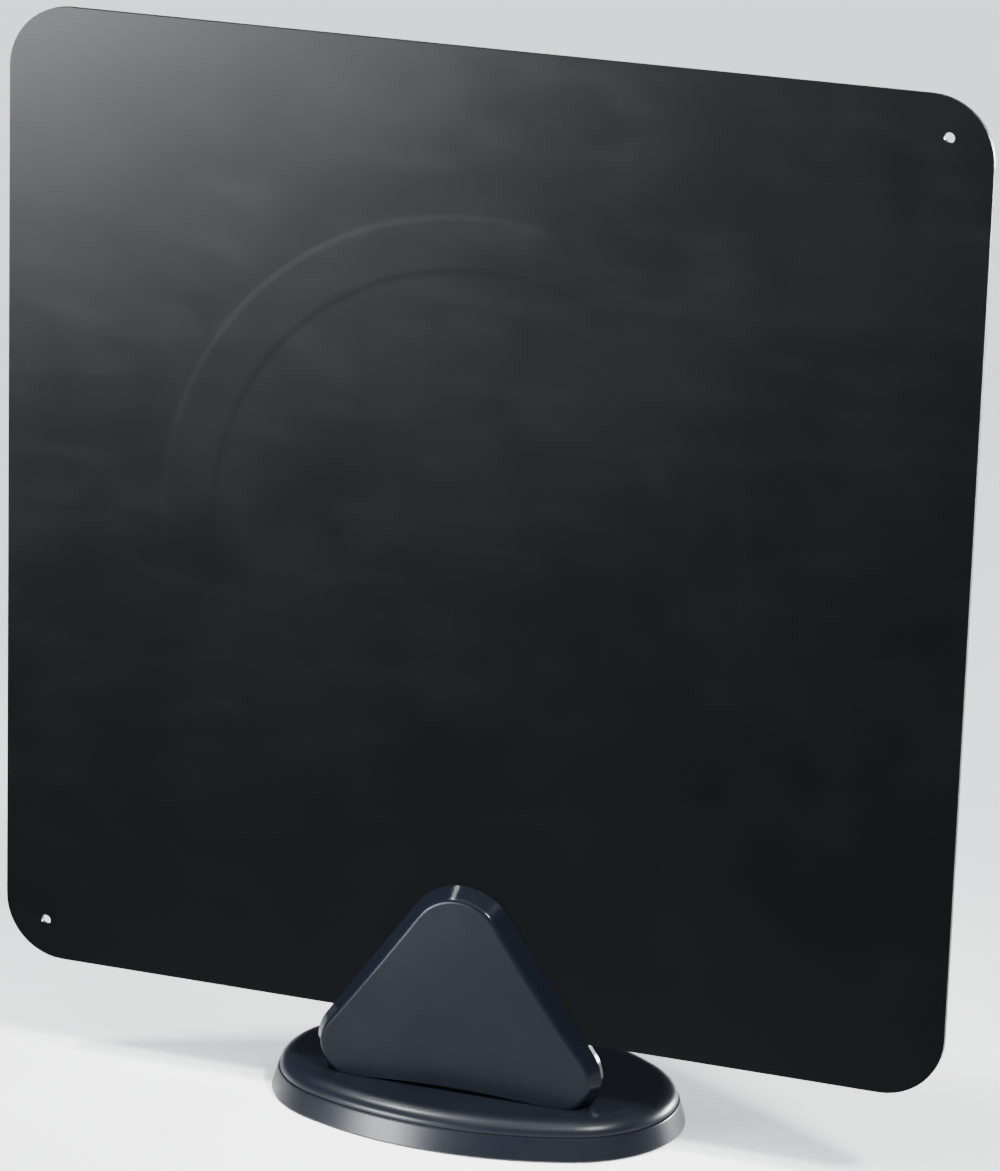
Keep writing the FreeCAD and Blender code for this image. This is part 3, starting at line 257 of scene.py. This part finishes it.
FINISHES = {
    "panel_plastic": panel_plastic,
    "clear_film": lambda: moulded_plastic("clear_film", (0.02, 0.02, 0.022), 0.4),
    "foil": lambda: brushed_metal("foil", (0.80, 0.79, 0.77), 0.3),
    "housing_plastic": lambda: moulded_plastic("housing_plastic", (0.0024, 0.0030, 0.0048), 0.33,
                                               specular=0.06, flank_roughness=0.12),
    "base_plastic": lambda: moulded_plastic("base_plastic", (0.0030, 0.0037, 0.0058), 0.30, specular=0.12),
    "inner_plastic": lambda: moulded_plastic("inner_plastic", (0.02, 0.02, 0.02), 0.5),
    "plated_steel": lambda: brushed_metal("plated_steel", (0.62, 0.62, 0.60), 0.3),
    "raw_steel": lambda: brushed_metal("raw_steel", (0.40, 0.40, 0.41), 0.45),
    "board_laminate": board_laminate,
    "spring_bronze": lambda: brushed_metal("spring_bronze", (0.80, 0.58, 0.28), 0.25),
    "ferrite": lambda: moulded_plastic("ferrite", (0.03, 0.03, 0.032), 0.7, grain_mm=0.2, grain_depth=0.02),
    "enamelled_copper": lambda: brushed_metal("enamelled_copper", (0.55, 0.18, 0.07), 0.2),
    "chip_ceramic": lambda: moulded_plastic("chip_ceramic", (0.35, 0.24, 0.14), 0.45),
    "nickel_plate": lambda: brushed_metal("nickel_plate", (0.66, 0.63, 0.57), 0.22, size_mm=0.25),
    "white_plastic": lambda: moulded_plastic("white_plastic", (0.62, 0.60, 0.54), 0.4),
    "foot_rubber": lambda: rubber("foot_rubber", (0.013, 0.013, 0.013)),
}


def finish_cad_nodes():
    made = {slot: make() for slot, make in FINISHES.items()}
    for part in frame["record"]["subparts"]:
        node = frame["nodes"][part["node"]]
        node.data.materials.clear()
        node.data.materials.append(made[part["material_slot"]])


finish_cad_nodes()


# --------------------------------------------------------------------------------------------------
# Stage
# --------------------------------------------------------------------------------------------------

def make_floor():
    """A round, plain, pale floor."""
    mesh = bpy.data.meshes.new("floor")
    reach = 12.0
    count = 96
    corners = [(reach * math.cos(2 * math.pi * i / count), reach * math.sin(2 * math.pi * i / count), 0)
               for i in range(count)]
    mesh.from_pydata(corners, [], [tuple(range(count))])
    floor = bpy.data.objects.new("floor", mesh)
    bpy.context.scene.collection.objects.link(floor)
    finish = Shader("floor", (0.86, 0.86, 0.86), 0.8, specular=0.1)
    finish.color(finish.mix_color(finish.noise(300, 3), (0.85, 0.85, 0.85), (0.88, 0.88, 0.88)))
    mesh.materials.append(finish.material)


OVERHEAD_TOWARD = Vector((0.06, -0.27, 0.93)).normalized()
OVERHEAD_GLOW = (5.4, 5.5, 5.65)
GLOW_IN_FRONT = (0.50, 0.55, 0.64)
GLOW_BEHIND = (0.09, 0.10, 0.115)


def make_world():
    """One big soft light overhead, a little to the front.  The surroundings are dim, darkest behind."""
    world = bpy.data.worlds.new("studio")
    world.use_nodes = True
    nodes = world.node_tree.nodes
    links = world.node_tree.links

    def graded(source, low, high, first, second):
        grade = nodes.new("ShaderNodeMapRange")
        grade.interpolation_type = "SMOOTHSTEP"
        grade.inputs["From Min"].default_value = low
        grade.inputs["From Max"].default_value = high
        links.new(source, grade.inputs["Value"])
        mix = nodes.new("ShaderNodeMix")
        mix.data_type = "RGBA"
        links.new(grade.outputs["Result"], mix.inputs["Factor"])
        for socket, item in ((mix.inputs["A"], first), (mix.inputs["B"], second)):
            if isinstance(item, tuple):
                socket.default_value = (*item, 1)
            else:
                links.new(item, socket)
        return mix.outputs["Result"]

    direction = nodes.new("ShaderNodeTexCoord").outputs["Generated"]
    split = nodes.new("ShaderNodeSeparateXYZ")
    links.new(direction, split.inputs[0])
    toward = nodes.new("ShaderNodeVectorMath")
    toward.operation = "DOT_PRODUCT"
    toward.inputs[1].default_value = OVERHEAD_TOWARD
    links.new(direction, toward.inputs[0])
    around = graded(split.outputs["Y"], -0.3, 0.5, GLOW_IN_FRONT, GLOW_BEHIND)
    color = graded(toward.outputs["Value"], 0.76, 0.89, around, OVERHEAD_GLOW)
    links.new(color, nodes["Background"].inputs["Color"])
    bpy.context.scene.world = world


def area_light(name, place, target, size, power, color=(1, 1, 1), depth=None, spread=180):
    data = bpy.data.lights.new(name, "AREA")
    data.shape = "RECTANGLE"
    data.size = size
    data.size_y = depth or size
    data.energy = power
    data.color = color
    data.spread = math.radians(spread)
    light = bpy.data.objects.new(name, data)
    bpy.context.scene.collection.objects.link(light)
    light.location = place
    light.rotation_mode = "QUATERNION"
    light.rotation_quaternion = (Vector(target) - Vector(place)).to_track_quat("-Z", "Y")


make_floor()
make_world()
# A gridded soft box low on either side of the panel, each turned half round from the other.
for name, side, power, spread in (("left_box", 1, 25, 30), ("back_box", -1, 30, 34)):
    area_light(name, (-1.0 * side, -1.35 * side, 0.32), (-0.05 * side, 0, 0.46), 0.75, power, COOL_WHITE,
               depth=0.58, spread=spread)
# Two small lamps that the housing's rounded apex mirrors.
area_light("left_lamp", (-0.585, -0.28, 1.20), (0, -0.02, 0.06), 0.11, 0.7, spread=24)
area_light("right_lamp", (0.75, -0.48, 1.03), (0, -0.02, 0.06), 0.16, 0.9, spread=24)
